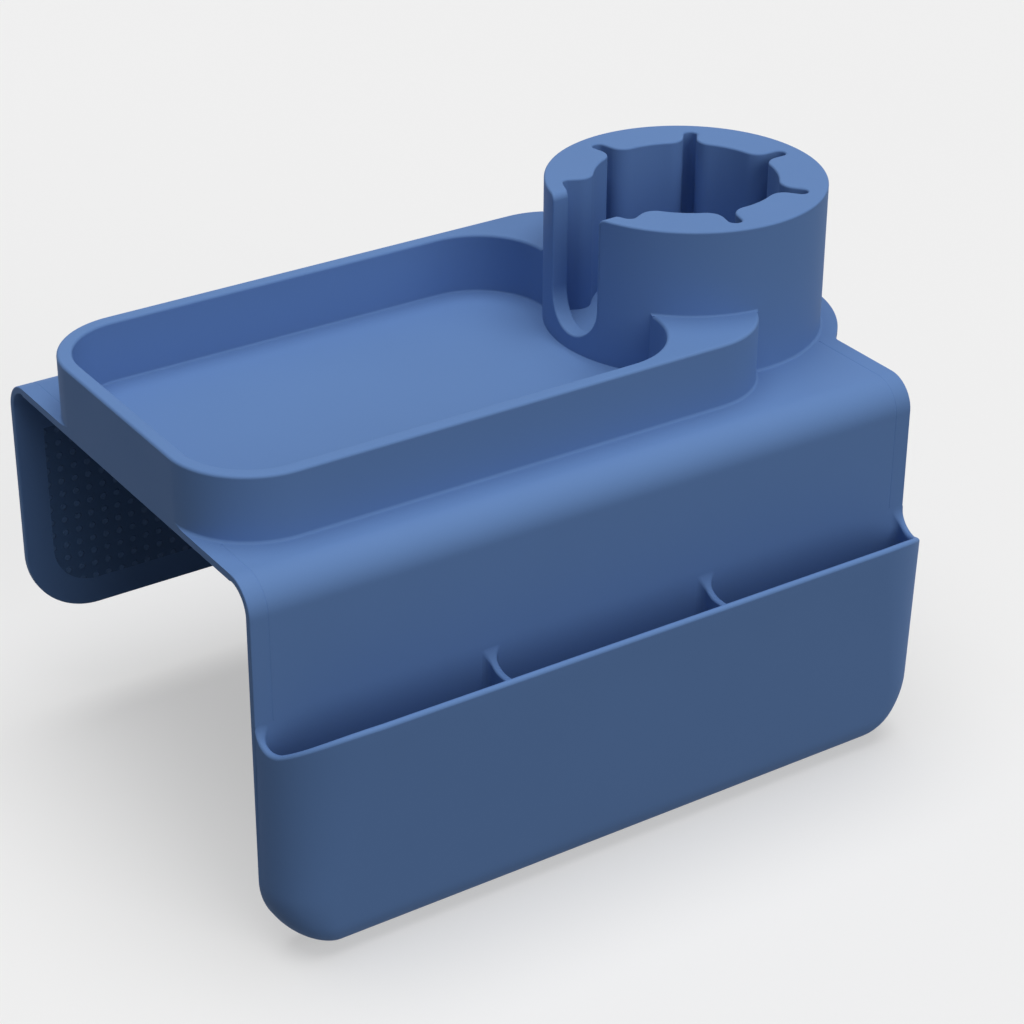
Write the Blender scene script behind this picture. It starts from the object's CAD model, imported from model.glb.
# %% [markdown]
# # Sofa arm tray
# A silicone saddle lies over a sofa arm. It carries a rimmed tray, a cup ring with gripping
# lobes, and a pouch with low dividers on one side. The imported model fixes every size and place,
# and this file gives it its finish. The steps build one piece each, from the deck outwards, and
# the light and camera come last.

import math

import bmesh
import bpy
from mathutils import Matrix, Vector


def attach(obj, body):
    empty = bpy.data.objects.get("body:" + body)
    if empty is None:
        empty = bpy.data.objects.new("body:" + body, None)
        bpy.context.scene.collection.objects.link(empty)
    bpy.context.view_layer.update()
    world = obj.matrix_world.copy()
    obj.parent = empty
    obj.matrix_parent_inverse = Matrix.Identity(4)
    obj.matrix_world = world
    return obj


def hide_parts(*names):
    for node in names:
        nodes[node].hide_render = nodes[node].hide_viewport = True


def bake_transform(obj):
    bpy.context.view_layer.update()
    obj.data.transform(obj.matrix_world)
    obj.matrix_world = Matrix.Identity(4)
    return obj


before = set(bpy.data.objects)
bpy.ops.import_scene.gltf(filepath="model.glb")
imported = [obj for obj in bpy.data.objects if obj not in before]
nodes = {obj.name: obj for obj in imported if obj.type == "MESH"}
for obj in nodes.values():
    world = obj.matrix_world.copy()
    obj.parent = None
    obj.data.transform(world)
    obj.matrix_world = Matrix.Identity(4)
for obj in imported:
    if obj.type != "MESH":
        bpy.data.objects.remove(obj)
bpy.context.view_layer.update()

# %% [markdown]
# The saddle is one thick sheet of silicone, bent down at both sides. Its sizes are written in
# millimetres, as on a drawing, and turned into metres when a piece is finished. Metres would do
# from the start, but small roundings are easier to read and check this way. Height zero is the
# face that rests on the sofa arm, +X runs towards the cup and -Y towards the pockets.

# %% Sizes of the sheet
mm = 0.001
half_length = 150.0
half_width = 99.5
sheet = 3.0
bend_radius = 13.0
bend_edge = half_width - bend_radius
bend_middle = sheet - bend_radius
seam = 0.5
flap_corner = 30.5
front_foot = sheet - 155.8
rear_foot = sheet - 112.0
groove_place = half_length - 7.5
groove_width = 1.1
groove_depth = 0.3
edge_round = 0.5
print("flaps end at", front_foot, "and", rear_foot)

# %% [markdown]
# Nearly all edges of this moulding are straight lines and parts of circles. They could be drawn
# as curves and made a mesh later. Here an outline is drawn as one track instead: a line pulls the
# last point along, and an arc spins it round a centre. Both are mesh operators, so the arcs stay
# true circles with a chosen number of steps, and each outline ends as one clean face.


# %% Track for outlines
class Track:
    """Draws an outline on one level, from its first point back to it."""

    def __init__(self, x, y, level=0.0):
        self.form = bmesh.new()
        self.level = level
        self.tip = self.form.verts.new((x, y, level))

    def line(self, x, y):
        """Pulls the last point straight to a new place."""
        pulled = bmesh.ops.extrude_vert_indiv(self.form, verts=[self.tip])
        self.tip = pulled["verts"][0]
        self.tip.co = Vector((x, y, self.level))
        return self

    def arc(self, x, y, degrees, steps):
        """Spins the last point round a centre."""
        spun = bmesh.ops.spin(
            self.form,
            geom=[self.tip],
            cent=(x, y, self.level),
            axis=(0, 0, 1),
            angle=math.radians(degrees),
            steps=steps,
        )
        self.tip = [item for item in spun["geom_last"] if isinstance(item, bmesh.types.BMVert)][0]
        return self

    def close(self):
        """Joins the ends and fills the outline with one face."""
        bmesh.ops.remove_doubles(self.form, verts=self.form.verts, dist=0.001)
        open_ends = [vert for vert in self.form.verts if len(vert.link_edges) == 1]
        if open_ends:
            self.form.edges.new(open_ends)
        bmesh.ops.contextual_create(self.form, geom=self.form.edges[:])
        return self.form


test = Track(0, 0).line(10, 0).arc(10, 10, 90, 6).close()
print("outline test: area", round(sum(face.calc_area() for face in test.faces), 1))
test.free()

# %% [markdown]
# Most parts are flat shapes with a thickness, so an outline's face is pulled up into a solid. A
# cube with bevelled corners would do for the plainest ones, but a drawn corner has its exact
# radius and can differ from its neighbours.


# %% Blocks from outlines
def raised(form, height):
    """Pulls an outline's face up into a solid."""
    pulled = bmesh.ops.extrude_face_region(form, geom=form.faces[:])
    top = [item for item in pulled["geom"] if isinstance(item, bmesh.types.BMVert)]
    bmesh.ops.translate(form, verts=top, vec=(0, 0, height))
    bmesh.ops.recalc_face_normals(form, faces=form.faces)
    return form


def rounded_block(left, front, right, back, corner, low, high, steps=14):
    """Makes a block with upright corners rounded."""
    track = Track(left + corner, front, low).line(right - corner, front)
    track.arc(right - corner, front + corner, 90, steps).line(right, back - corner)
    track.arc(right - corner, back - corner, 90, steps).line(left + corner, back)
    track.arc(left + corner, back - corner, 90, steps).line(left, front + corner)
    track.arc(left + corner, front + corner, 90, steps)
    return raised(track.close(), high - low)


test = rounded_block(0, 0, 100, 50, 10, 0, 5)
print("block test:", len(test.faces), "faces, volume", round(test.calc_volume()))
test.free()

# %% [markdown]
# Solids are joined and cut with the Boolean modifier, as a maker adds and carves wax for a mould.
# Modelling every joint face by face would give tidier faces, but it takes long, and a changed
# size means doing it again. The result is read back as a mesh at once, so the next step works on
# plain edges and faces.


# %% Join and cut
def as_object(name, form):
    """Puts a form on the scene as an object."""
    mesh = bpy.data.meshes.new(name)
    form.to_mesh(mesh)
    form.free()
    item = bpy.data.objects.new(name, mesh)
    bpy.context.collection.objects.link(item)
    return item


def taken_back(item, others=()):
    """Reads an object with its modifiers as a form, and clears it away."""
    graph = bpy.context.evaluated_depsgraph_get()
    shape = bpy.data.meshes.new_from_object(item.evaluated_get(graph))
    form = bmesh.new()
    form.from_mesh(shape)
    bpy.data.meshes.remove(shape)
    for used in (item, *others):
        mesh = used.data
        bpy.data.objects.remove(used)
        bpy.data.meshes.remove(mesh)
    return form


def combined(base, tool, operation):
    """Joins one form to another, or cuts it out."""
    item = as_object("base", base)
    other = as_object("tool", tool)
    step = item.modifiers.new("combine", "BOOLEAN")
    step.object = other
    step.operation = operation
    step.solver = "EXACT"
    bpy.context.view_layer.update()
    form = taken_back(item, [other])
    bmesh.ops.remove_doubles(form, verts=form.verts, dist=0.002)
    return form


test = rounded_block(0, 0, 20, 20, 2, 0, 5)
test = combined(test, rounded_block(5, 5, 15, 15, 2, 3, 8), "DIFFERENCE")
print("cut test: volume", round(test.calc_volume()))
test.free()

# %% [markdown]
# A finished form is scaled to metres, smoothed, and set to ride on its body. Subdivision would
# smooth it too, but it pulls true circles inwards. Smooth shading keeps each size, and weighted
# normals keep the broad flat faces flat beside their rounded edges.

# %% Finish a piece
crease = math.radians(32)


def finished(name, form, body, *replaced, finish, slot="silicone_blue"):
    """Makes a form into a named piece on its body."""
    bmesh.ops.scale(form, vec=(mm, mm, mm), verts=form.verts)
    for face in form.faces:
        face.smooth = True
    for edge in form.edges:
        edge.smooth = len(edge.link_faces) == 2 and edge.calc_face_angle(0) < crease
    piece = as_object(name, form)
    piece.data.materials.append(finish)
    steady = piece.modifiers.new("steady", "WEIGHTED_NORMAL")
    steady.keep_sharp = True
    if body:
        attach(piece, body)
    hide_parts(*replaced)
    print(name, "faces:", len(piece.data.polygons))
    return piece


print("edges stay smooth below", round(math.degrees(crease)), "degrees")

# %% [markdown]
# Silicone leaves its mould with soft edges, and these catch the light. A Bevel modifier picks
# edges by their angle alone. A test written for each place picks only the edges that are rounded
# there, and each gets a radius of its own.


# %% Soft edges
def softened(form, chosen, radius, steps=4):
    """Rounds the edges that a test picks."""
    edges = [edge for edge in form.edges if len(edge.link_faces) == 2 and chosen(edge)]
    bmesh.ops.bevel(
        form,
        geom=edges,
        affect="EDGES",
        offset=radius,
        offset_type="OFFSET",
        segments=steps,
        profile=0.5,
        material=-1,
    )
    print("rounded", len(edges), "edges by", radius)
    return form


def is_level(edge, height):
    """Tells whether an edge lies flat at one height."""
    return all(abs(vert.co.z - height) < 0.01 for vert in edge.verts)


def is_upright(edge):
    """Tells whether an edge stands upright."""
    return (edge.verts[0].co.xy - edge.verts[1].co.xy).length < 0.01


test = softened(rounded_block(0, 0, 20, 20, 3, 0, 5), lambda edge: is_level(edge, 5), 1)
print("soft test:", len(test.faces), "faces")
test.free()

# %% [markdown]
# Shader sums are written as plain Python: a small class holds a socket, and each operator adds
# one Math node. The nodes could be placed one by one, as in the editor, but a sum is shorter and
# easier to check. Any other node comes from one call that takes its type, its settings and what
# goes into its sockets.


# %% Shader helper
class Shade:
    """Holds a socket of a material, so that maths on it reads as sums."""

    tree = None

    def __init__(self, socket):
        self.socket = socket

    @classmethod
    def node(cls, kind, settings=None, values=None, output=0):
        """Adds a node, with its settings first and then its sockets."""
        made = cls.tree.nodes.new(kind)
        for name, value in (settings or {}).items():
            setattr(made, name, value)
        for name, value in (values or {}).items():
            if isinstance(value, Shade):
                cls.tree.links.new(value.socket, made.inputs[name])
            else:
                made.inputs[name].default_value = value
        return Shade(made.outputs[output])

    def maths(self, operation, *others):
        """Adds one Math node with this socket first."""
        values = dict(enumerate((self, *others)))
        return Shade.node("ShaderNodeMath", {"operation": operation}, values)

    def __add__(self, other):
        return self.maths("ADD", other)

    __radd__ = __add__

    def __mul__(self, other):
        return self.maths("MULTIPLY", other)

    __rmul__ = __mul__

    def __sub__(self, other):
        return self.maths("SUBTRACT", other)

    def __rsub__(self, other):
        return (self * -1).maths("ADD", other)


def mixed(share, first, second):
    """Mixes two colours by a share that varies over the surface."""
    values = {0: share, 6: first, 7: second}
    return Shade.node("ShaderNodeMix", {"data_type": "RGBA"}, values, output=2)


def noise(place, scale, detail):
    """Gives a cloudy pattern; a larger scale makes it finer."""
    values = {"Vector": place, "Scale": scale, "Detail": detail}
    return Shade.node("ShaderNodeTexNoise", values=values)


print("operators on a socket: + - *")

# %% [markdown]
# Every finish here starts from the Principled shader and from the place on the object in its own
# coordinates, so a pattern keeps its real size on each piece. What is the same all over is set on
# the shader's sockets, and only what varies is linked.


# %% Start of a material
def new_finish(name, roughness, **constants):
    """Starts a material and gives it with its shader and the place on the object."""
    material = bpy.data.materials.new(name)
    material.use_nodes = True
    Shade.tree = material.node_tree
    shader = material.node_tree.nodes["Principled BSDF"]
    shader.inputs["Roughness"].default_value = roughness
    for socket, value in constants.items():
        shader.inputs[socket.replace("_", " ")].default_value = value
    return material, shader, Shade.node("ShaderNodeTexCoord", output=3)


def fed(shader, name, value):
    """Links a varying value to one of the shader's own sockets."""
    Shade.tree.links.new(value.socket, shader.inputs[name])


def relief(shader, height, strength, depth):
    """Feeds a height over the surface to the shader's normal, with its depth in millimetres."""
    values = {"Height": height, "Strength": strength, "Distance": depth * mm}
    fed(shader, "Normal", Shade.node("ShaderNodeBump", values=values))


print("each material starts from the Principled shader")

# %% [markdown]
# Moulded silicone is matt and even. It takes a very fine grain from the mould's blasted steel,
# its colour drifts by a hair where the pigment is not quite mixed, and handling leaves faint
# duller patches. A picture of silicone could be wrapped round, but it would show seams. Three
# noises, each at its own scale, have none and fit every piece.

# %% Silicone
silicone_colour = (0.127, 0.240, 0.500)
colour_drift = 0.035
grain_scale, drift_scale, patch_scale = 1100.0, 14.0, 38.0


def silicone(name, colour, roughness, grain_height):
    """Makes a matt silicone finish in one colour."""
    material, shader, place = new_finish(name, roughness, Specular_IOR_Level=0.12)
    grain = noise(place, grain_scale, 2.0)
    drift = noise(place, drift_scale, 3.0)
    patches = noise(place, patch_scale, 4.0)
    darker = (*[channel * (1 - colour_drift) for channel in colour], 1)
    lighter = (*[channel * (1 + colour_drift) for channel in colour], 1)
    fed(shader, "Base Color", mixed(drift, darker, lighter))
    fed(shader, "Roughness", roughness - 0.05 + 0.08 * patches + 0.04 * grain)
    relief(shader, grain, 0.25, grain_height)
    return material


blue = silicone("silicone blue", silicone_colour, 0.62, 0.05)
print("blue silicone nodes:", len(blue.node_tree.nodes))

# %% [markdown]
# The deck is the flat middle of the sheet. An ear of it stands out under the cup ring, and small
# hollow roundings join the ear to the sheet's end. Ear and sheet could be joined as two solids
# and the corners filled after. Here all of it is one outline, because the centres follow exactly
# from two circles that touch. The plate starts too long on the left, because the tray is flush
# there and both are trimmed in one cut.

# %% Deck
cup_x, cup_y = 108.3, -0.6
ear_radius = 65.0
ear_fillet = 6.0
spare = 12.0


def deck_plate():
    """Makes the flat plate with its ear."""
    reach = half_length + ear_fillet - cup_x
    rise = math.sqrt((ear_radius + ear_fillet) ** 2 - reach**2)
    swing = math.degrees(math.atan2(rise, reach))
    side = bend_edge - seam
    track = Track(half_length, -side).line(half_length, cup_y - rise)
    track.arc(half_length + ear_fillet, cup_y - rise, -swing, 8)
    track.arc(cup_x, cup_y, 2 * swing, 40)
    track.arc(half_length + ear_fillet, cup_y + rise, -swing, 8)
    track.line(half_length, side).line(-half_length - spare, side)
    track.line(-half_length - spare, -side)
    plate = raised(track.close(), sheet)

    def at_cup_end(edge):
        return min(vert.co.x for vert in edge.verts) > half_length - 0.1 and not is_upright(edge)

    return softened(plate, at_cup_end, edge_round, 3)


plate = deck_plate()
print("deck plate volume", round(plate.calc_volume()))

# %% [markdown]
# The tray keeps small things from rolling off. It could be grown from the deck with insets, but
# its corners don't share one radius, so it is a block with its basin carved out. The basin's
# right corners are wider than its left ones, and what is left between basin and ring are the two
# horns. Lip and floor are rounded before the tray joins the deck, so each rounding runs in one
# clean loop. A cutter always reaches a little past what it cuts, and a joined part a little into
# what it joins.

# %% Tray
tray_high = 30.0
tray_front, tray_back, tray_right = -76.2, 76.4, 106.5
tray_corner = 34.0
rim_round = 1.3
basin_floor = 4.2
basin_left, basin_right = -144.0, 64.5
basin_front, basin_back = -70.2, 70.4
basin_corner, bay_corner = 28.0, 31.0
basin_cove = 1.0
sunk = 1.0
clear = 5.0


def basin_block(low, high):
    """Makes the basin's hollow as a solid."""
    left, right = basin_left + basin_corner, basin_right - bay_corner
    track = Track(left, basin_front, low).line(right, basin_front)
    track.arc(right, basin_front + bay_corner, 90, 18).line(basin_right, basin_back - bay_corner)
    track.arc(right, basin_back - bay_corner, 90, 18).line(left, basin_back)
    track.arc(left, basin_back - basin_corner, 90, 16).line(basin_left, basin_front + basin_corner)
    track.arc(left, basin_front + basin_corner, 90, 16)
    return raised(track.close(), high - low)


def tray_block(left, low, high):
    """Makes the tray's outer form between two levels."""
    return rounded_block(left, tray_front, tray_right, tray_back, tray_corner, low, high, 18)


def on_lip(edge):
    """Picks the edges of the tray's lip."""
    return is_level(edge, tray_high) and edge.calc_face_angle(0) > 1


hollow = basin_block(basin_floor, tray_high + 2 * clear)
hollow = softened(hollow, lambda edge: is_level(edge, basin_floor), basin_cove)
tray = combined(tray_block(-half_length - 0.05, sunk, tray_high), hollow, "DIFFERENCE")
tray = softened(tray, on_lip, rim_round, 5)
print("tray volume", round(tray.calc_volume()))

# %% [markdown]
# On the real object tray and deck are one moulding, with a small hollow rounding where they meet.
# The two are joined, and a bevel of that corner makes the cove. It could be modelled into both
# parts before, but then their edges would have to match. A plane trims both at the left end,
# which gives the flush face of the tray.

# %% Join tray and deck
foot_cove = 1.3


def at_foot(edge):
    """Picks the hollow corner where the tray stands on the deck."""
    return is_level(edge, sheet) and edge.calc_face_angle_signed(0) < -1


def open_edges(form):
    """Counts the edges that keep a form from being closed."""
    return sum(not edge.is_manifold for edge in form.edges)


top = combined(plate, tray, "UNION")
top = softened(top, at_foot, foot_cove, 5)
cut = bmesh.ops.bisect_plane(
    top,
    geom=top.verts[:] + top.edges[:] + top.faces[:],
    dist=0.0001,
    plane_co=(-half_length, 0, 0),
    plane_no=(-1, 0, 0),
    clear_outer=True,
)
rim = [item for item in cut["geom_cut"] if isinstance(item, bmesh.types.BMEdge)]
bmesh.ops.contextual_create(top, geom=rim)
print("joined:", len(top.faces), "faces, open edges", open_edges(top))

# %% [markdown]
# The cup ring is round, so it is turned, as on a wheel: half of its section is drawn and spun
# round its middle. A cylinder with more loops would do too, but a drawn section holds the wall
# and the flare of its foot in one line.

# %% Cup ring
ring_radius, ring_inner, ring_top = 57.7, 50.5, 66.0
horn_cove = 1.0
bite = 0.02
marks = 120


def turned(points):
    """Spins a section of radius and height round the cup's middle into a solid."""
    form = bmesh.new()
    verts = [form.verts.new((cup_x + radius, cup_y, height)) for radius, height in points]
    edges = [form.edges.new(pair) for pair in zip(verts, verts[1:])]
    bmesh.ops.spin(
        form,
        geom=verts + edges,
        cent=(cup_x, cup_y, 0),
        axis=(0, 0, 1),
        angle=math.tau,
        steps=marks,
        use_merge=True,
    )
    bmesh.ops.remove_doubles(form, verts=form.verts, dist=0.001)
    bmesh.ops.recalc_face_normals(form, faces=form.faces)
    return form


def hollow_curve(radius, foot, size, steps=6):
    """Gives the points of a cove that rises from a floor to an upright wall."""
    turns = [math.pi / 2 * step / steps for step in range(steps + 1)]
    curve = [(1 - math.sin(turn), 1 - math.cos(turn)) for turn in turns]
    return [(radius + size * out, foot + size * up) for out, up in curve]


foot_curve = hollow_curve(ring_radius, sheet - bite, foot_cove)
section = [(0, sunk), (ring_radius + foot_cove, sunk), *foot_curve]
ring = turned([*section, (ring_radius, ring_top), (0, ring_top)])
print("ring volume", round(ring.calc_volume()))

# %% [markdown]
# The ring passes through the two horns, and a small cove lies there as well. A bevel would run
# into the ring's own foot, so this cove is turned as a skirt instead and kept only over the tray.
# Then the ring joins the moulding.

# %% Ring on the tray
skirt_low = 20.0
skirt_curve = hollow_curve(ring_radius - bite / 2, tray_high - bite, horn_cove)
section = [(0, skirt_low), (ring_radius + horn_cove, skirt_low), *skirt_curve]
skirt = turned([*section, (0, tray_high + horn_cove)])
cover = tray_block(-half_length, skirt_low / 2, skirt_low / 2 + 40)
cover = combined(cover, basin_block(clear, clear + 55), "DIFFERENCE")
skirt = combined(skirt, cover, "INTERSECT")
ring = combined(ring, skirt, "UNION")
top = combined(top, ring, "UNION")
print("with ring:", len(top.faces), "open edges", open_edges(top))

# %% [markdown]
# Six soft lobes squeeze the cup, with a narrow gap between each two. They could be made one by
# one and set into a round hole, but they are one moulding with the ring. So the hole is drawn
# round them: one lobe's outline has its soft corners and half of the gap on each side.

# %% One lobe
places = 7
grip_radius = 37.6
grip_corner = 7.0
half_gap = 2.75
half_step = 180 / places
middle = Vector((cup_x, cup_y))


def gap_axes(turn):
    """Gives the directions along and across the gap at one angle."""
    ahead = Vector((math.cos(math.radians(turn)), math.sin(math.radians(turn))))
    return ahead, Vector((-ahead.y, ahead.x))


def lobe_outline():
    """Draws one lobe from the middle of one gap to the middle of the next."""
    out = grip_radius + grip_corner
    along = math.sqrt(out**2 - (half_gap + grip_corner) ** 2)
    lean = math.degrees(math.asin((half_gap + grip_corner) / out))
    track = None
    for number, hand in ((1, 1), (3, -1)):
        ahead, across = gap_axes(180 + number * half_step)
        gap_end = middle + ahead * (ring_inner - half_gap)
        corner = middle + ahead * along + across * hand * (half_gap + grip_corner)
        if track is None:
            start = middle + ahead * ring_inner
            track = Track(start.x, start.y, sheet)
            track.arc(*gap_end, 90, 6).line(*(middle + ahead * along + across * half_gap))
            track.arc(*corner, lean - 90, 8).arc(*middle, 2 * (half_step - lean), 12)
        else:
            track.arc(*corner, lean - 90, 8).line(*(gap_end - across * half_gap))
            track.arc(*gap_end, 90, 6)
    return track


print("lobes lean", round(half_step, 1), "degrees each way from their middle")

# %% [markdown]
# The lobe's outline is spun round as copies, which keeps all six alike, and the seventh place
# stays open for a handle. An arc closes the outline there, with points of its own beside the
# slot, so that the rounded edges have room.

# %% Hole with lobes
slot_half = 14.75
slot_turn = 182.0
slot_step = 4


def lobe_hole():
    """Makes the solid that is cut out of the ring."""
    track = lobe_outline()
    first = track.form.verts[:] + track.form.edges[:]
    for number in range(1, places - 1):
        copied = bmesh.ops.duplicate(track.form, geom=first)["geom"]
        moved = [item for item in copied if isinstance(item, bmesh.types.BMVert)]
        spin = Matrix.Rotation(math.radians(2 * half_step * number), 3, "Z")
        bmesh.ops.rotate(track.form, verts=moved, cent=(cup_x, cup_y, 0), matrix=spin)
    bmesh.ops.remove_doubles(track.form, verts=track.form.verts, dist=0.01)
    ends = [vert for vert in track.form.verts if len(vert.link_edges) == 1]
    track.tip = max(ends, key=lambda vert: vert.co.y)
    swing = math.degrees(math.asin(slot_half / ring_inner))
    lead = slot_turn - swing - slot_step / 2 - (180 - half_step)
    track.arc(cup_x, cup_y, lead, 2).arc(cup_x, cup_y, slot_step, 1)
    track.arc(cup_x, cup_y, 2 * swing - slot_step, 8).arc(cup_x, cup_y, slot_step, 1)
    track.arc(cup_x, cup_y, 2 * half_step - lead - 2 * swing - slot_step, 1)
    bmesh.ops.remove_doubles(track.form, verts=track.form.verts, dist=0.01)
    return raised(track.close(), ring_top + clear - sheet)


hole = lobe_hole()
print("hole:", len(hole.faces), "volume", round(hole.calc_volume()))
top = combined(top, hole, "DIFFERENCE")

# %% [markdown]
# The slot makes room for a handle that stands out of the ring. A box and a lying cylinder would
# cut it too, but its two top corners turn outwards. So it is a U drawn upright, with half a
# circle as its sill, and pushed through the ring's wall.

# %% Handle slot
slot_sill = sheet + 8.2
slot_lip = 3.2
slot_start, slot_depth = 42, 25
half, wide = slot_half, slot_half + slot_lip
track = Track(-wide, ring_top + clear).line(-wide, ring_top)
track.arc(-wide, ring_top - slot_lip, -90, 5).line(-half, slot_sill + half)
track.arc(0, slot_sill + half, 180, 22).line(half, ring_top - slot_lip)
track.arc(wide, ring_top - slot_lip, -90, 5).line(wide, ring_top + clear)
slot = raised(track.close(), slot_depth)
place = Matrix.Translation((cup_x, cup_y, 0)) @ Matrix.Rotation(math.radians(slot_turn), 4, "Z")
place = place @ Matrix.Translation((slot_start, 0, 0))
place = place @ Matrix.Rotation(math.radians(90), 4, "Z")
place = place @ Matrix.Rotation(math.radians(90), 4, "X")
bmesh.ops.transform(slot, matrix=place, verts=slot.verts)
top = combined(top, slot, "DIFFERENCE")
print("with slot:", len(top.faces))

# %% [markdown]
# The underside has a shallow recess for the grip liner, and the deck carries a fine pressed line
# near each end. A line could be a dark streak in the material, but only a real groove catches the
# light and shows in the mesh. So the recess is a rounded block and each line a thin wedge, all
# cut away. The lines stop where the coves of tray and ring begin.

# %% Recess and pressed lines
liner_depth = 0.8
liner_inset = 12.0
liner_corner = 18.5
liner_end, liner_side = half_length - liner_inset, bend_edge - 6
recess = rounded_block(
    -liner_end, -liner_side, liner_end, liner_side, liner_corner, -clear, liner_depth
)
top = combined(top, recess, "DIFFERENCE")


def pressed_line(x, start, end):
    """Makes the thin wedge that presses a line into the deck."""
    track = Track(x - groove_width, groove_depth).line(x, -groove_depth)
    track.line(x + groove_width, groove_depth)
    wedge = raised(track.close(), end - start)
    place = Matrix.Translation((0, end, sheet)) @ Matrix.Rotation(math.pi / 2, 4, "X")
    bmesh.ops.transform(wedge, matrix=place, verts=wedge.verts)
    return wedge


beside_tray = (-66.2, 66.4)
beside_ring = (-49.8, 48.6)
for x, (front_stop, back_stop) in ((-groove_place, beside_tray), (groove_place, beside_ring)):
    top = combined(top, pressed_line(x, -90, front_stop), "DIFFERENCE")
    top = combined(top, pressed_line(x, back_stop, 90), "DIFFERENCE")
print("with recess and lines:", len(top.faces))

# %% [markdown]
# The ring's top edge is crisp but not sharp, and so are the slot's edges and the lobes. They
# could be rounded one group at a time, but then their corners would not meet. They are picked by
# where they lie and rounded together.

# %% Round the ring
ring_round = 0.9
ring_crease = math.radians(24)


def on_ring_edge(edge):
    """Picks the ring's top edges and the edges of its slot."""
    a, b = (vert.co for vert in edge.verts)
    if edge.calc_face_angle(0) < ring_crease:
        return False
    near = (a + b) / 2
    away = math.hypot(near.x - cup_x, near.y - cup_y)
    if is_level(edge, ring_top):
        return True
    beside = near.x < cup_x and abs(near.y - cup_y) < 22 and near.z > slot_sill - 1
    return beside and (abs(away - ring_radius) < 0.3 or abs(away - ring_inner) < 0.3)


top = softened(top, on_ring_edge, ring_round, 4)
bmesh.ops.remove_doubles(top, verts=top.verts, dist=0.001)
bmesh.ops.holes_fill(top, edges=[edge for edge in top.edges if edge.is_boundary], sides=4)
print("moulding:", len(top.faces), "open edges", open_edges(top))
parts = ["deck_sheet", "tray_basin", "cup_ring"]
parts += [f"grip_{number}" for number in range(1, places)]
finished("moulded_top", top, "saddle", *parts, finish=blue)

# %% [markdown]
# The sheet has soft edges and two pressed lines, and they run on over the bends. A bend could be
# cut from a block, as the deck is, but a section that holds edges and lines needs no cuts after
# it is swept.


# %% Section of the sheet
def sheet_section():
    """Draws the section of the sheet, seen from its end."""
    half, low, high, r = half_length, 0.0, sheet, edge_round
    track = Track(-half + r, low).line(half - r, low).arc(half - r, low + r, 90, 4)
    track.line(half, high - r).arc(half - r, high - r, 90, 4)
    for place in (groove_place, -groove_place):
        track.line(place + groove_width / 2, high).line(place, high - groove_depth)
        track.line(place - groove_width / 2, high)
    track.line(-half + r, high).arc(-half + r, high - r, 90, 4)
    track.line(-half, low + r).arc(-half + r, low + r, 90, 4)
    form = track.close()
    bmesh.ops.delete(form, geom=form.faces[:], context="FACES_ONLY")
    return form


test = sheet_section()
print("section: edges", len(test.edges))
test.free()

# %% [markdown]
# Each side of the sheet bends down through a quarter turn. A flat strip could be bent with a
# modifier, but a spin keeps the inner and outer radius exact. The section is set upright and spun
# round the middle of the bend, and the same form mirrored makes the far side. Both bends follow
# deck and flap, so that they curl when a flap is lifted.


# %% Bends
def pulled(form, edges, step):
    """Pulls a loop of edges along by one straight step and gives the new loop."""
    made = bmesh.ops.extrude_edge_only(form, edges=edges)["geom"]
    ends = [item for item in made if isinstance(item, bmesh.types.BMVert)]
    bmesh.ops.translate(form, verts=ends, vec=step)
    return [item for item in made if isinstance(item, bmesh.types.BMEdge)]


def stood_up(form, back):
    """Turns a form that was drawn flat upright, facing the pocket side."""
    upright = Matrix.Translation((0, -back, 0)) @ Matrix.Rotation(math.pi / 2, 4, "X")
    bmesh.ops.transform(form, matrix=upright, verts=form.verts)


def bend_form(side):
    """Makes one bend: -1 for the pocket side, 1 for the far side."""
    form = sheet_section()
    stood_up(form, bend_edge - seam)
    first = form.edges[:]
    loop = pulled(form, first, (0, -seam, 0))
    spun = bmesh.ops.spin(
        form,
        geom=loop + list({vert for edge in loop for vert in edge.verts}),
        cent=(0, -bend_edge, bend_middle),
        axis=(1, 0, 0),
        angle=math.pi / 2,
        steps=24,
    )
    loop = [item for item in spun["geom_last"] if isinstance(item, bmesh.types.BMEdge)]
    loop = pulled(form, loop, (0, 0, -seam))
    bmesh.ops.contextual_create(form, geom=first)
    bmesh.ops.contextual_create(form, geom=loop)
    bmesh.ops.scale(form, vec=(1, -side, 1), verts=form.verts)
    bmesh.ops.recalc_face_normals(form, faces=form.faces)
    return form


for name, side, body in (("front_bend", -1, "pocket_side"), ("rear_bend", 1, "rear_side")):
    form = bend_form(side)
    print(name, "open edges", open_edges(form))
    bend = finished(f"{name}_skin", form, None, name, finish=blue)
    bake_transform(bend)

# %% [markdown]
# The two flaps hang down the arm's sides. They share their parts, which are made by small
# helpers: a hanging block with two round lower corners, soft edges, and the pressed line. Where
# the pouch grows out of the front flap, the flap's outer edge stays sharp, so that the two meet
# without a notch.

# %% Parts of a flap
pouch_root = -54.0
flap_top = bend_middle - seam


def hung_block(inset, high, low, corner, inner, outer):
    """Makes an upright plate with two round lower corners, seen from the pocket side."""
    left, right = -half_length + inset, half_length - inset
    track = Track(left, high).line(left, low + corner).arc(left + corner, low + corner, 90, 20)
    track.line(right - corner, low).arc(right - corner, low + corner, 90, 20)
    track.line(right, pouch_root).line(right, high)
    plate = raised(track.close(), outer - inner)
    stood_up(plate, inner)
    return plate


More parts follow.
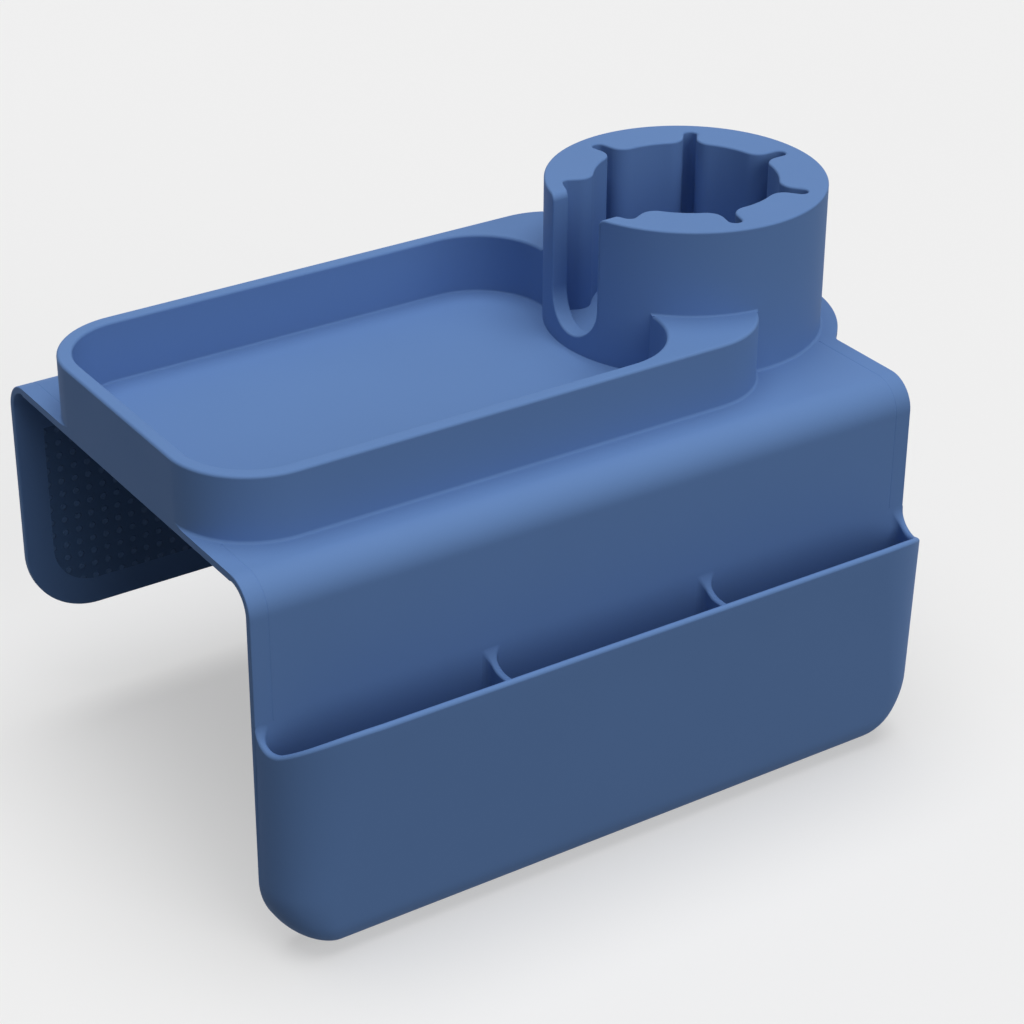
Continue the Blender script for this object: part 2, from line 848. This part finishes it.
def soft_sided(plate, outer, limit):
    """Rounds a flap's edges, but on its outer face only above a limit."""

    def picked(edge):
        a, b = (vert.co for vert in edge.verts)
        low = min(a.z, b.z)
        if abs(a.y - b.y) > 0.01 or low > flap_top - 0.01 or edge.calc_face_angle(0) < 1:
            return False
        return abs(abs(a.y) - outer) > 0.01 or low > limit - 0.01

    return softened(plate, picked, edge_round, 3)


def upright_line(place, outer):
    """Makes the upright wedge that presses a line into a flap."""
    track = Track(place - groove_width, -outer - groove_depth, -200)
    track.line(place, -outer + groove_depth).line(place + groove_width, -outer - groove_depth)
    return raised(track.close(), 200)


print("flaps start at", flap_top)

# %% [markdown]
# A flap could be a plate with a Solidify modifier, but its inner face has a recess for the grip
# liner and its outer face has lines. So it is a solid that is carved, as the deck is. The far
# flap also holds a steel plate in a pocket of its own, so that it hangs straight.

# %% Flaps
weight_inset, weight_drop = 24.0, 62.0
weight_corner, weight_plate = 4.0, 1.2


def flap_form(side, foot, limit):
    """Makes a flap with its recess and its pressed lines."""
    inner, outer = half_width - sheet, half_width
    straight, curve = half_length - flap_corner, foot + flap_corner
    stop = max(limit, curve + 1)
    track = Track(-half_length, flap_top).line(-half_length, stop).line(-half_length, curve)
    track.arc(-half_length + flap_corner, curve, 90, 24).line(straight, foot)
    track.arc(straight, curve, 90, 24).line(half_length, stop).line(half_length, flap_top)
    plate = raised(track.close(), outer - inner)
    stood_up(plate, inner)
    plate = soft_sided(plate, outer, limit)
    high, low = bend_middle - liner_inset, foot + liner_inset
    bottom = inner + liner_depth
    recess = hung_block(liner_inset, high, low, liner_corner, inner - clear, bottom)
    plate = combined(plate, recess, "DIFFERENCE")
    for place in (-groove_place, groove_place):
        plate = combined(plate, upright_line(place, outer), "DIFFERENCE")
    if side > 0:
        end, low = half_length - weight_inset, foot + weight_inset
        high = low + weight_drop
        pocket = rounded_block(-end, low, end, high, weight_corner, 0, weight_plate, 4)
        stood_up(pocket, bottom)
        plate = combined(plate, pocket, "DIFFERENCE")
    bmesh.ops.scale(plate, vec=(1, -side, 1), verts=plate.verts)
    bmesh.ops.recalc_face_normals(plate, faces=plate.faces)
    return plate


for name, side, foot, limit, body in (
    ("front_flap", -1, front_foot, pouch_root, "pocket_side"),
    ("rear_flap", 1, rear_foot, -1000.0, "rear_side"),
):
    form = flap_form(side, foot, limit)
    print(name, "open edges", open_edges(form))
    finished(f"{name}_skin", form, body, name, finish=blue)

# %% [markdown]
# The pouch is a thin wall that stands out from the front flap and narrows downwards. Its plan is
# a long flat panel with a quarter curve at each end, and its foot is rounded. A subdivision cage
# could give that form, but its sizes would only be near the real ones. Here each place on the
# wall follows from its height and from how far along the pouch it lies.

# %% Form of the pouch
pouch_rim = sheet - 51.3
pouch_wall = 3.0
pouch_reach, foot_reach = 31.8, 17.5
pouch_end, foot_end = 36.0, 13.0
toe = 14.5
quarter_share = 0.57
root_flare = 3.0


def foot_rounding(radius, rise):
    """Gives how far a round foot has drawn in at one height above it."""
    return radius - math.sqrt(max(radius**2 - max(radius - rise, 0) ** 2, 0))


def wall_place(inset, turn, level):
    """Gives where the wall stands at one level: along the pouch, and out from the flap."""
    foot = front_foot + inset
    share = (pouch_rim - level) / (pouch_rim - front_foot)
    taper = inset + foot_rounding(toe - inset, level - foot)
    reach = pouch_reach + (foot_reach - pouch_reach) * share - taper
    end = max(pouch_end + (foot_end - pouch_end) * share - taper, 1.0)
    tip = half_length - inset - foot_rounding(flap_corner - inset, level - foot)
    t = min(abs(turn), 1)
    pull = quarter_share * end
    bend = [(tip, 0), (tip, quarter_share * reach), (tip - end + pull, reach), (tip - end, reach)]
    weights = [(1 - t) ** 3, 3 * (1 - t) ** 2 * t, 3 * (1 - t) * t**2, t**3]
    x = sum(weight * point[0] for weight, point in zip(weights, bend))
    out = sum(weight * point[1] for weight, point in zip(weights, bend))
    if abs(turn) > 1:
        x = x * (2 - abs(turn))
    if inset:
        x -= root_flare - math.sqrt(root_flare**2 - max(root_flare - out, 0) ** 2)
    return math.copysign(x, turn), out


print("wall at rim", [round(v, 1) for v in wall_place(0, -0.5, pouch_rim)])

# %% [markdown]
# The rim is level along the panel, dips at both ends and rises into the flap, so that the pockets
# can be reached from the side. A spline through a few points would wave there. Two arcs that
# touch, a wide one and a tight one, give the dip a calm line.

# %% Rim of the pouch
dip, dip_start = 13.0, half_length - 34.0
dip_arc, dip_foot_arc = 42.0, 2.5
dip_turn = math.acos(1 - dip / (dip_arc + dip_foot_arc))
dip_end = dip_start + (dip_arc + dip_foot_arc) * math.sin(dip_turn)
dip_level = pouch_rim - dip
root_round = 8.5


def rim_height(x, out):
    """Gives the height of the rim at one place of the wall."""
    run = min(max(abs(x) - dip_start, 0), dip_end - dip_start)
    if run < dip_arc * math.sin(dip_turn):
        height = pouch_rim - dip_arc + math.sqrt(dip_arc**2 - run**2)
    else:
        left = dip_end - dip_start - run
        height = dip_level + dip_foot_arc - math.sqrt(dip_foot_arc**2 - left**2)
    rise = min(max(root_round - out, 0), root_round)
    return height + root_round - math.sqrt(root_round**2 - rise**2)


print("dip ends at", round(dip_end, 1), "and", dip_level)

# %% [markdown]
# A grid is wrapped to this form: one way it runs along the pouch, the other way from the inner
# foot up the inside, over the round lip and down the outside. Its columns lie closer where the
# wall meets the flap and where the rim dips. The rows follow the quarter circle of the foot, so
# that it comes out evenly round.

# %% Columns of the pouch
near_root = [0, 0.001, 0.004, 0.009, 0.018, 0.031, 0.047, 0.066, 0.088, 0.113, 0.14, 0.17]
round_end = [0.205, 0.245, 0.29, 0.34, 0.39, 0.44, 0.49, 0.54, 0.6, 0.66, 0.73, 0.8, 0.87, 0.94]
long_panel = [1.0, 1.05, 1.15, 1.3, 1.5, 1.75]
half_turns = near_root + round_end + long_panel
columns = [-turn for turn in half_turns] + [2.0] + half_turns[::-1]
foot_rows, wall_rows, lip_rows = 20, 12, 10


def column_points(turn):
    """Gives one column of the wall, from the inner foot over the lip to the outer foot."""
    x, out = wall_place(pouch_wall / 2, turn, pouch_rim)
    height = rim_height(x, out)
    lip = pouch_wall / 2
    points = []
    turns = [math.pi / 2 * row / foot_rows for row in range(foot_rows + 1)]
    steps = range(1, wall_rows + 1)
    for inset in (pouch_wall, 0):
        foot = front_foot + inset
        corner = flap_corner - inset
        levels = [foot + corner * (1 - math.cos(angle)) for angle in turns]
        levels += [levels[-1] + (height - lip - levels[-1]) * step / wall_rows for step in steps]
        side = [(*wall_place(inset, turn, level), level) for level in levels]
        side.insert(0, (side[0][0], 0, side[0][2]))
        points.append(side)
    inner, outer = points
    a, b = Vector(inner[-1]), Vector(outer[-1])
    between, half, up = (a + b) / 2, (a - b) / 2, Vector((0, 0, lip))
    turns = [math.pi * row / lip_rows for row in range(1, lip_rows)]
    over = [between + half * math.cos(angle) + up * math.sin(angle) for angle in turns]
    return inner + over + outer[::-1]


print("grid:", len(columns), "columns of", len(column_points(0.5)), "points")

# %% [markdown]
# The wall could be an outer skin with a Solidify modifier, but its thickness would vary where it
# tapers. The grid has both faces of the wall in it. What stays open, along the flap and under the
# foot, is closed with one face.


# %% Pouch
def pouch_form():
    """Wraps a grid to the pouch's wall and closes it against the flap."""
    rows = len(column_points(0.5))
    form = bmesh.new()
    bmesh.ops.create_grid(form, x_segments=len(columns) - 1, y_segments=rows - 1, size=1)
    form.verts.ensure_lookup_table()
    placed = {}
    for vert in form.verts:
        column = round((vert.co.x + 1) / 2 * (len(columns) - 1))
        row = round((vert.co.y + 1) / 2 * (rows - 1))
        placed[vert] = (column, row)
    walls = [column_points(turn) for turn in columns]
    for vert, (column, row) in placed.items():
        x, out, level = walls[column][row]
        vert.co = Vector((x, -half_width - out, level))
    bmesh.ops.remove_doubles(form, verts=form.verts, dist=0.0005)
    rim = [edge for edge in form.edges if len(edge.link_faces) == 1]
    bmesh.ops.contextual_create(form, geom=rim)
    bmesh.ops.recalc_face_normals(form, faces=form.faces)
    return form


form = pouch_form()
print("pouch volume", round(form.calc_volume()), "open edges", open_edges(form))
finished("pouch_skin", form, "pocket_side", "pocket_pouch", finish=blue)

# %% [markdown]
# Two low dividers part the pouch into three pockets. Seen from above, each spreads softly where
# it meets flap and panel, and seen from the side, its top sags like a hammock. A swept strip can
# hold only one of these views, so each view is drawn and pulled into a prism.

# %% Outlines of a divider
divider_place = 50.0
spread = 3.0
rim_gap = 1.6
sag_rise = dip - 1.2
divider_root = -half_width + 0.5
inner_panel = -half_width - pouch_reach + pouch_wall


def divider_plan(place):
    """Makes the divider's plan as a tall prism."""
    panel = inner_panel - 1.0
    half = pouch_wall / 2
    wide = half + spread
    track = Track(place + wide, divider_root).line(place + wide, -half_width)
    track.arc(place + wide, -half_width - spread, 90, 6)
    track.line(place + half, panel + 1 + spread).arc(place + wide, panel + 1 + spread, 90, 6)
    track.line(place + wide, panel).line(place - wide, panel).line(place - wide, panel + 1)
    track.arc(place - wide, panel + 1 + spread, 90, 6).line(place - half, -half_width - spread)
    track.arc(place - wide, -half_width - spread, 90, 6).line(place - wide, divider_root)
    plan = raised(track.close(), 200)
    bmesh.ops.translate(plan, verts=plan.verts, vec=(0, 0, -180))
    return plan


def divider_side(place, width=40):
    """Makes the divider's side view as a wide prism."""
    start, foot = pouch_rim - rim_gap, front_foot + 3
    high = dip_level + root_round
    track = Track(divider_root, high).line(-half_width, high)
    track.arc(-half_width - root_round, high, -90, 12)
    track.line(inner_panel + sag_rise, dip_level)
    track.arc(inner_panel + sag_rise, dip_level + sag_rise, -90, 14)
    for step in range(25):
        level = start + (foot - pouch_rim + rim_gap) * step / 24
        track.line(-half_width - wall_place(pouch_wall - 0.5, 2.0, level)[1], level)
    track.line(divider_root, foot)
    side = raised(track.close(), width)
    turn = Matrix(((0, 0, 1, place - width / 2), (1, 0, 0, 0), (0, 1, 0, 0), (0, 0, 0, 1)))
    bmesh.ops.transform(side, matrix=turn, verts=side.verts)
    return side


test = divider_side(0)
print("side view of a divider: faces", len(test.faces))
test.free()

# %% [markdown]
# A divider is the common part of its two prisms. Its sagging top gets a soft edge on both sides
# after that, because the edges to round exist only then.

# %% Dividers
divider_round = 0.9


def on_divider_top(edge):
    """Picks the edges between a divider's sagging top and its sides."""
    a, b = sorted((face.normal for face in edge.link_faces), key=lambda normal: abs(normal.x))
    low = min(vert.co.z for vert in edge.verts)
    return abs(a.x) < 0.05 and a.z > 0.05 and abs(b.z) < 0.05 and low > dip_level - 2


for name, place in (("divider_left", -divider_place), ("divider_right", divider_place)):
    form = combined(divider_plan(place), divider_side(place), "INTERSECT")
    form = softened(form, on_divider_top, divider_round, 3)
    print(name, "volume", round(form.calc_volume()), "open edges", open_edges(form))
    finished(f"{name}_skin", form, "pocket_side", name, finish=blue)

# %% [markdown]
# Thin liners of soft silicone fill the recesses under the sheet, and small raised dots on them
# hold the fabric of the arm. There are thousands of dots, so a bump carries them and the mesh
# stays light. A Voronoi texture without randomness is an even grid of points, and the distance to
# the nearest point, cut off softly, is a round dot. The upright liners turn the pattern by a
# quarter, so that it lies in their own plane.

# %% Grip liner
dot_pitch = 6.0
dot_radius = 1.6
dot_slope = 0.6
dot_height = 0.5
liner_colour = (0.065, 0.138, 0.300)
dot_colour = (0.090, 0.180, 0.380)


def dotted(name, turn):
    """Makes the liner's finish, with the grid of dots turned into the liner's plane."""
    material, shader, place = new_finish(name, 0.7, Specular_IOR_Level=0.3)
    rotation = (math.radians(turn), 0, 0)
    flat = Shade.node("ShaderNodeMapping", values={"Vector": place, "Rotation": rotation})
    grid = {"Vector": flat, "Scale": 1000 / dot_pitch, "Randomness": 0.0}
    away = Shade.node("ShaderNodeTexVoronoi", {"voronoi_dimensions": "2D"}, grid)
    top_edge, foot_edge = (dot_radius - dot_slope) / dot_pitch, dot_radius / dot_pitch
    levels = {"Value": away, "From Min": top_edge, "From Max": foot_edge, "To Min": 1, "To Max": 0}
    dots = Shade.node("ShaderNodeMapRange", {"interpolation_type": "SMOOTHSTEP"}, levels)
    dust = noise(place, 60.0, 4.0)
    share = dots * (0.7 + 0.3 * dust)
    fed(shader, "Base Color", mixed(share, (*liner_colour, 1), (*dot_colour, 1)))
    fed(shader, "Roughness", 0.78 - 0.16 * dots + 0.06 * dust)
    relief(shader, dots + 0.04 * dust, 0.8, dot_height)
    return material


liner_finishes = {
    "deck_liner": dotted("liner dots level", 0),
    "front_liner": dotted("liner dots front", 90),
    "rear_liner": dotted("liner dots rear", 90),
}


def dressed(name, finish):
    """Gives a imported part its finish."""
    nodes[name].data.materials.clear()
    nodes[name].data.materials.append(finish)


for name, finish in liner_finishes.items():
    dressed(name, finish)
print("dots on the deck's liner:", round(4 * liner_end * liner_side / dot_pitch**2))

# %% [markdown]
# The floor of the cup's well is a disc of the same blue silicone as the saddle. The plate that
# weighs the far flap down is cut from rolled steel strip, so its grain runs along its length.
# Brushed lines could be drawn as a wave, but a wave repeats. A noise that is squeezed across and
# stretched along gives fine lines that don't.

# %% Cup floor and steel plate
dressed("cup_floor", blue)
strip_scale = (14, 1600, 1600)


def rolled_steel():
    """Makes the finish of steel strip, with its grain along X."""
    material, shader, place = new_finish("rolled steel", 0.35, Metallic=1.0)
    stretched = Shade.node("ShaderNodeMapping", values={"Vector": place, "Scale": strip_scale})
    grain = noise(stretched, 1.0, 3.0)
    oil = noise(place, 25.0, 3.0)
    fed(shader, "Base Color", mixed(oil, (0.50, 0.50, 0.51, 1), (0.58, 0.58, 0.60, 1)))
    fed(shader, "Roughness", 0.26 + 0.14 * grain + 0.08 * oil)
    relief(shader, grain, 0.3, 0.02)
    return material


dressed("rear_weight", rolled_steel())
print("kept parts have their finish")

# %% [markdown]
# The floor is plain and pale and keeps the soft shadow of the object. White paint would throw
# much light up at the object's sides, so for such rays the floor is almost dark. Rays that look
# at it see a middling grey, which takes light and shadow, and a soft glow lifts that towards
# white.

# %% Floor
floor_grey = 0.45
floor_bounce = 0.08
floor_glow = 0.45
floor_half = 6
floor_drop = 0.2
cloud_share = 0.015
white = (1.0, 1.0, 1.0, 1.0)
black = (0.0, 0.0, 0.0, 1.0)


def seen_rays():
    """Gives one for rays that look at a backdrop, straight or in a reflection."""
    names = ("Is Camera Ray", "Is Glossy Ray", "Is Transmission Ray")
    straight, glossy, through = [Shade.node("ShaderNodeLightPath", output=name) for name in names]
    return (straight + glossy + through).maths("MINIMUM", 1.0)


def pale_floor():
    """Makes the floor's finish."""
    constants = {"Specular_IOR_Level": 0.1, "Emission_Strength": floor_glow}
    material, shader, place = new_finish("pale floor", 0.9, **constants)
    cloud = noise(place, 2.0, 2.0)
    greys = (floor_grey * (1 - cloud_share), floor_grey * (1 + cloud_share), floor_bounce)
    low, high, dim = ((*[grey] * 3, 1) for grey in greys)
    seen = seen_rays()
    fed(shader, "Base Color", mixed(seen, dim, mixed(cloud, low, high)))
    fed(shader, "Emission Color", mixed(seen, black, white))
    return material


form = bmesh.new()
bmesh.ops.create_grid(form, x_segments=1, y_segments=1, size=floor_half)
bmesh.ops.translate(form, verts=form.verts, vec=(0, 0, (front_foot - floor_drop) * mm))
floor = as_object("floor", form)
floor.data.materials.append(pale_floor())
print("floor lies at", front_foot - floor_drop)

# %% [markdown]
# The light is that of a photo studio. A broad lamp straight above lights the level faces evenly.
# A weaker one in front, a little to the right, keeps the front faces clear, and the left faces
# stay darker. Area lamps would be brightest near their middle. Sun lamps with a wide angle act as
# boxes far away: their light is the same everywhere and their shadows are soft. The air around
# adds a faint even light.

# %% Light
air_light = (0.12, 0.12, 0.12, 1)


def far_box(name, strength, spread, lean, turn):
    """Hangs a broad lamp far away, leaning from the upright and turned round it."""
    lamp = bpy.data.lights.new(name, "SUN")
    lamp.energy = strength
    lamp.angle = math.radians(spread)
    item = bpy.data.objects.new(name, lamp)
    bpy.context.collection.objects.link(item)
    item.rotation_euler = (math.radians(lean), 0, math.radians(turn))
    return item


far_box("overhead", strength=2.1, spread=54, lean=0, turn=0)
far_box("front fill", strength=0.9, spread=44, lean=65, turn=8)

world = bpy.data.worlds.new("studio")
bpy.context.scene.world = world
world.use_nodes = True
Shade.tree = world.node_tree
fed(world.node_tree.nodes["Background"], "Color", mixed(seen_rays(), air_light, white))
bpy.context.scene.view_settings.view_transform = "Standard"

# %% [markdown]
# The camera stands where the photograph was taken from, to the left in front of the object and
# above it. A wide lens from close by would make the upright edges lean. A long lens from further
# away keeps them nearly parallel.

# %% Camera
camera_place = (-529.9, -838.6, 490.2)
camera_turn, camera_pitch, camera_roll = -33.49, 28.89, 0.3
focal_pixels, frame_pixels = 2776.47, 1024
camera_data = bpy.data.cameras.new("camera")
camera_data.sensor_width = 36
camera_data.lens = 36 * focal_pixels / frame_pixels
camera = bpy.data.objects.new("camera", camera_data)
bpy.context.collection.objects.link(camera)
turn = Matrix.Rotation(math.radians(camera_turn), 4, "Z")
turn = turn @ Matrix.Rotation(math.radians(90 - camera_pitch), 4, "X")
turn = turn @ Matrix.Rotation(math.radians(camera_roll), 4, "Z")
camera.matrix_world = Matrix.Translation(Vector(camera_place) * mm) @ turn
bpy.context.scene.camera = camera
print("camera lens:", round(camera_data.lens, 1))
